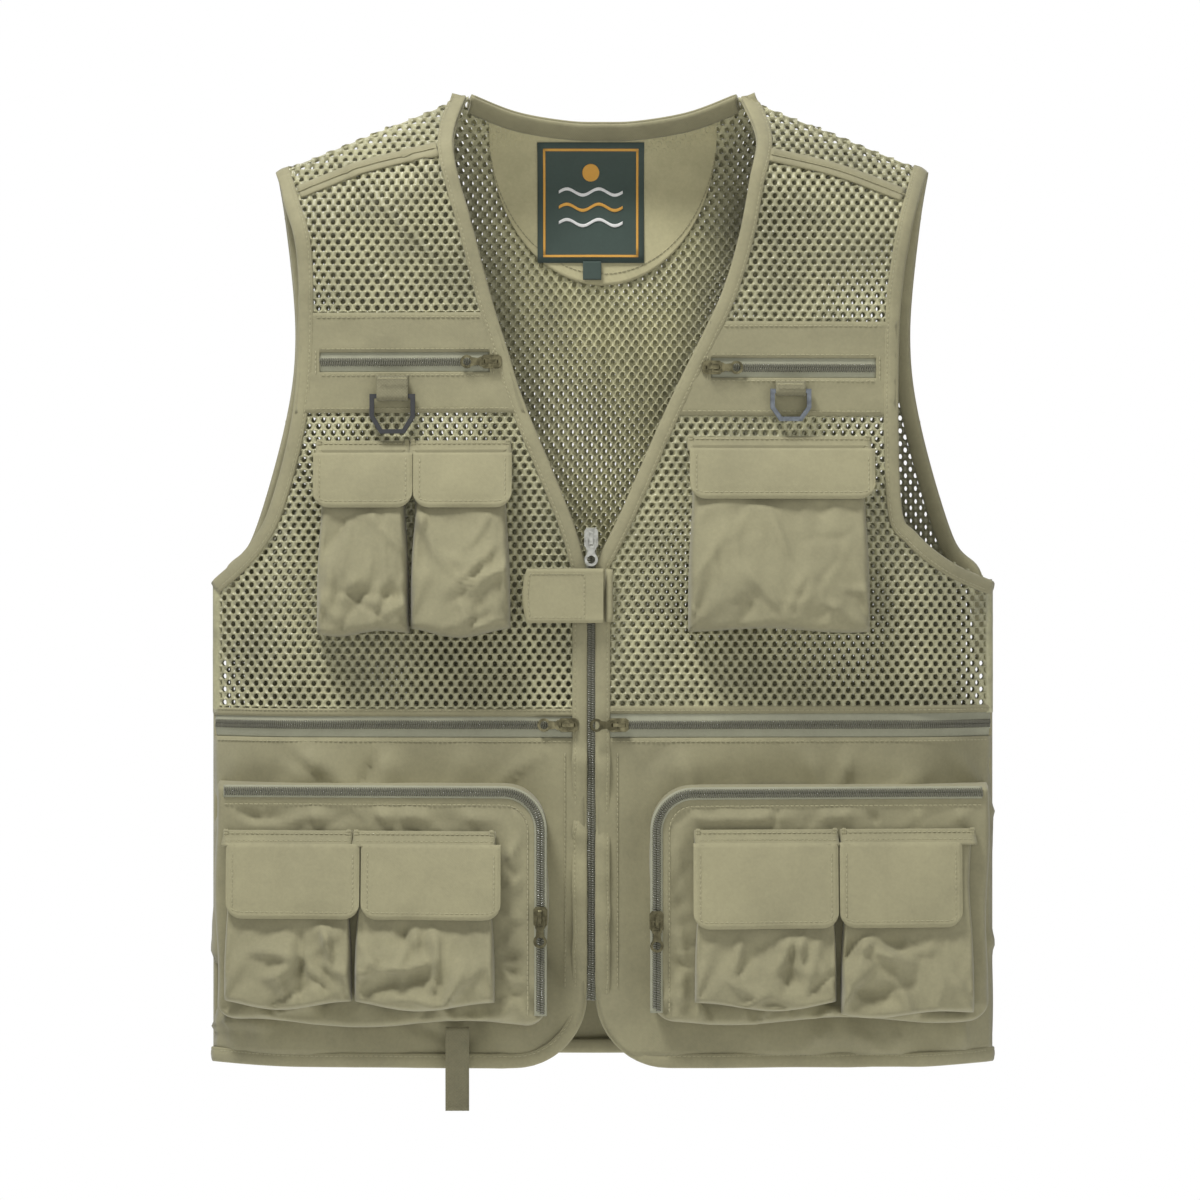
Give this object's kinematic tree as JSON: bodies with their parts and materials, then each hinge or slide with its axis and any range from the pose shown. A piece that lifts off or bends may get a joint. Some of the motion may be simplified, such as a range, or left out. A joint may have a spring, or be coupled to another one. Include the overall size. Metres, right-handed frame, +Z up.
{
  "type": "fishing vest",
  "caption": "Sleeveless net-and-cloth fishing vest with flapped bellows pockets, zipped cargo pockets, zips, rings and a closure tab.",
  "frame": {"origin": "on the shoulder line midway between the neck points, where a hanger or the wearer's shoulders carry the vest", "axes": "+Z up along the body, the front faces -Y, +X to the wearer's left"},
  "size_m": [0.54, 0.1607, 0.6962],
  "materials": {
    "shell_fabric": "matt woven cotton and polyester, khaki olive",
    "mesh_fabric": "open warp-knit net with a slight sheen",
    "edge_binding": "ribbed grosgrain tape",
    "zip_tape": "woven zip tape, grey green",
    "zip_chain": "nylon coil",
    "slider_steel": "nickel plated",
    "pull_brass": "antique brass plating, darkened",
    "ring_plastic": "matt black moulding",
    "ring_metal": "dark plated steel",
    "label": "woven label, dark green with an orange frame"
  },
  "bodies": {
    "vest_body": {"upper_mesh_right": "mesh_fabric", "chest_band_right": "shell_fabric", "chest_zip_right": "zip_tape", "mid_mesh_right": "mesh_fabric", "waist_zip_right": "zip_tape", "lower_panel_right": "shell_fabric", "armhole_binding_right": "edge_binding", "front_edge_binding_right": "edge_binding", "cargo_right_shell": "shell_fabric", "cargo_right_zip": "zip_tape", "ring_loop_right": "edge_binding", "upper_mesh_left": "mesh_fabric", "chest_band_left": "shell_fabric", "chest_zip_left": "zip_tape", "mid_mesh_left": "mesh_fabric", "waist_zip_left": "zip_tape", "lower_panel_left": "shell_fabric", "armhole_binding_left": "edge_binding", "front_edge_binding_left": "edge_binding", "cargo_left_shell": "shell_fabric", "cargo_left_zip": "zip_tape", "ring_loop_left": "edge_binding", "center_zip": "zip_chain", "chest_right_outer_bag": "shell_fabric", "chest_right_inner_bag": "shell_fabric", "chest_left_bag": "shell_fabric", "cargo_right_outer_bag": "shell_fabric", "cargo_right_inner_bag": "shell_fabric", "cargo_left_inner_bag": "shell_fabric", "cargo_left_outer_bag": "shell_fabric", "back_mesh": "mesh_fabric", "back_lower": "shell_fabric", "back_neck_binding": "edge_binding", "neck_facing": "shell_fabric", "neck_label": "label"},
    "chest_right_outer_flap": {"chest_right_outer_flap": "shell_fabric"},
    "chest_right_inner_flap": {"chest_right_inner_flap": "shell_fabric"},
    "chest_left_flap": {"chest_left_flap": "shell_fabric"},
    "cargo_right_outer_flap": {"cargo_right_outer_flap": "shell_fabric"},
    "cargo_right_inner_flap": {"cargo_right_inner_flap": "shell_fabric"},
    "cargo_left_inner_flap": {"cargo_left_inner_flap": "shell_fabric"},
    "cargo_left_outer_flap": {"cargo_left_outer_flap": "shell_fabric"},
    "closure_tab": {"closure_tab": "shell_fabric"},
    "chest_zip_right_slider": {"chest_zip_right_slider": "pull_brass"},
    "chest_zip_right_puller": {"chest_zip_right_puller": "pull_brass"},
    "chest_zip_left_slider": {"chest_zip_left_slider": "pull_brass"},
    "chest_zip_left_puller": {"chest_zip_left_puller": "pull_brass"},
    "waist_zip_right_slider": {"waist_zip_right_slider": "pull_brass"},
    "waist_zip_right_puller": {"waist_zip_right_puller": "pull_brass"},
    "waist_zip_left_slider": {"waist_zip_left_slider": "pull_brass"},
    "waist_zip_left_puller": {"waist_zip_left_puller": "pull_brass"},
    "cargo_right_zip_slider": {"cargo_right_zip_slider": "pull_brass"},
    "cargo_right_zip_puller": {"cargo_right_zip_puller": "pull_brass"},
    "cargo_left_zip_slider": {"cargo_left_zip_slider": "pull_brass"},
    "cargo_left_zip_puller": {"cargo_left_zip_puller": "pull_brass"},
    "center_zip_slider": {"center_zip_slider": "slider_steel"},
    "center_zip_puller": {"center_zip_puller": "pull_brass"},
    "d_ring_right": {"d_ring_right": "ring_plastic"},
    "d_ring_left": {"d_ring_left": "ring_metal"},
    "utility_strap": {"utility_strap": "edge_binding"}
  },
  "joints": [
    {"name": "chest_right_outer_flap_hinge", "type": "hinge", "parent": "vest_body", "child": "chest_right_outer_flap", "pos_m": [-0.1633, -0.05778, -0.2444], "axis": [-0.9982, 0.0599, 0], "range_deg": [0, 105]},
    {"name": "chest_right_inner_flap_hinge", "type": "hinge", "parent": "vest_body", "child": "chest_right_inner_flap", "pos_m": [-0.0954, -0.06186, -0.2444], "axis": [-0.9982, 0.0599, 0], "range_deg": [0, 105]},
    {"name": "chest_left_flap_hinge", "type": "hinge", "parent": "vest_body", "child": "chest_left_flap", "pos_m": [0.122, -0.05931, -0.2414], "axis": [-0.9982, -0.0599, 0], "range_deg": [0, 105]},
    {"name": "cargo_right_outer_flap_hinge", "type": "hinge", "parent": "vest_body", "child": "cargo_right_outer_flap", "pos_m": [-0.20975, -0.07692, -0.5094], "axis": [-0.9929, 0.1191, 0], "range_deg": [0, 105]},
    {"name": "cargo_right_inner_flap_hinge", "type": "hinge", "parent": "vest_body", "child": "cargo_right_inner_flap", "pos_m": [-0.116, -0.08817, -0.5094], "axis": [-0.9929, 0.1191, 0], "range_deg": [0, 105]},
    {"name": "cargo_left_inner_flap_hinge", "type": "hinge", "parent": "vest_body", "child": "cargo_left_inner_flap", "pos_m": [0.10975, -0.087, -0.5084], "axis": [-0.9929, -0.1191, 0], "range_deg": [0, 105]},
    {"name": "cargo_left_outer_flap_hinge", "type": "hinge", "parent": "vest_body", "child": "cargo_left_outer_flap", "pos_m": [0.2015, -0.07601, -0.5084], "axis": [-0.9929, -0.1191, 0], "range_deg": [0, 105]},
    {"name": "closure_tab_hinge", "type": "hinge", "parent": "vest_body", "child": "closure_tab", "pos_m": [0.0003, -0.0641, -0.322], "axis": [0, 0, 1], "range_deg": [0, 150]},
    {"name": "chest_zip_right_slide", "type": "slide", "parent": "vest_body", "child": "chest_zip_right_slider", "axis": [-0.9982, 0.0599, 0], "range_m": [0, 0.108]},
    {"name": "chest_zip_right_puller_swing", "type": "hinge", "parent": "chest_zip_right_slider", "child": "chest_zip_right_puller", "pos_m": [-0.07617, -0.05641, -0.181], "axis": [0, 0, 1], "range_deg": [0, 165]},
    {"name": "chest_zip_left_slide", "type": "slide", "parent": "vest_body", "child": "chest_zip_left_slider", "axis": [0.9982, 0.0599, 0], "range_m": [0, 0.104]},
    {"name": "chest_zip_left_puller_swing", "type": "hinge", "parent": "chest_zip_left_slider", "child": "chest_zip_left_puller", "pos_m": [0.07467, -0.05554, -0.185], "axis": [0, 0, -1], "range_deg": [0, 165]},
    {"name": "waist_zip_right_slide", "type": "slide", "parent": "vest_body", "child": "waist_zip_right_slider", "axis": [-0.9982, 0.0599, 0], "range_m": [0, 0.174]},
    {"name": "waist_zip_right_puller_swing", "type": "hinge", "parent": "waist_zip_right_slider", "child": "waist_zip_right_puller", "pos_m": [-0.02367, -0.05956, -0.4285], "axis": [0, 0, 1], "range_deg": [0, 120]},
    {"name": "waist_zip_left_slide", "type": "slide", "parent": "vest_body", "child": "waist_zip_left_slider", "axis": [0.9982, 0.0599, 0], "range_m": [0, 0.186]},
    {"name": "waist_zip_left_puller_swing", "type": "hinge", "parent": "waist_zip_left_slider", "child": "waist_zip_left_puller", "pos_m": [0.01067, -0.05939, -0.4285], "axis": [0, 0, 1], "range_deg": [0, 145]},
    {"name": "cargo_right_zip_slide", "type": "slide", "parent": "vest_body", "child": "cargo_right_zip_slider", "axis": [0, 0, 1], "range_m": [-0.055, 0.045]},
    {"name": "cargo_right_zip_puller_swing", "type": "hinge", "parent": "cargo_right_zip_slider", "child": "cargo_right_zip_puller", "pos_m": [-0.04235, -0.0922, -0.557], "axis": [-0.9929, 0.1191, 0], "range_deg": [0, 165]},
    {"name": "cargo_left_zip_slide", "type": "slide", "parent": "vest_body", "child": "cargo_left_zip_slider", "axis": [0, 0, 1], "range_m": [-0.05, 0.045]},
    {"name": "cargo_left_zip_puller_swing", "type": "hinge", "parent": "cargo_left_zip_slider", "child": "cargo_left_zip_puller", "pos_m": [0.03635, -0.091, -0.56], "axis": [-0.9929, -0.1191, 0], "range_deg": [0, 165]},
    {"name": "center_zip_slide", "type": "slide", "parent": "vest_body", "child": "center_zip_slider", "axis": [0, 0, -1], "range_m": [0, 0.3]},
    {"name": "center_zip_puller_swing", "type": "hinge", "parent": "center_zip_slider", "child": "center_zip_puller", "pos_m": [-0.008, -0.0605, -0.3015], "axis": [-1, 0, 0], "range_deg": [0, 150]},
    {"name": "d_ring_right_swing", "type": "hinge", "parent": "vest_body", "child": "d_ring_right", "pos_m": [-0.1435, -0.05347, -0.2045], "axis": [-0.9982, 0.0599, 0], "range_deg": [0, 80]},
    {"name": "d_ring_left_swing", "type": "hinge", "parent": "vest_body", "child": "d_ring_left", "pos_m": [0.128, -0.05344, -0.201], "axis": [-0.9982, -0.0599, 0], "range_deg": [0, 80]},
    {"name": "utility_strap_swing", "type": "hinge", "parent": "vest_body", "child": "utility_strap", "pos_m": [-0.099, -0.06154, -0.6336], "axis": [-0.9982, 0.0599, 0], "range_deg": [0, 45]}
  ]
}
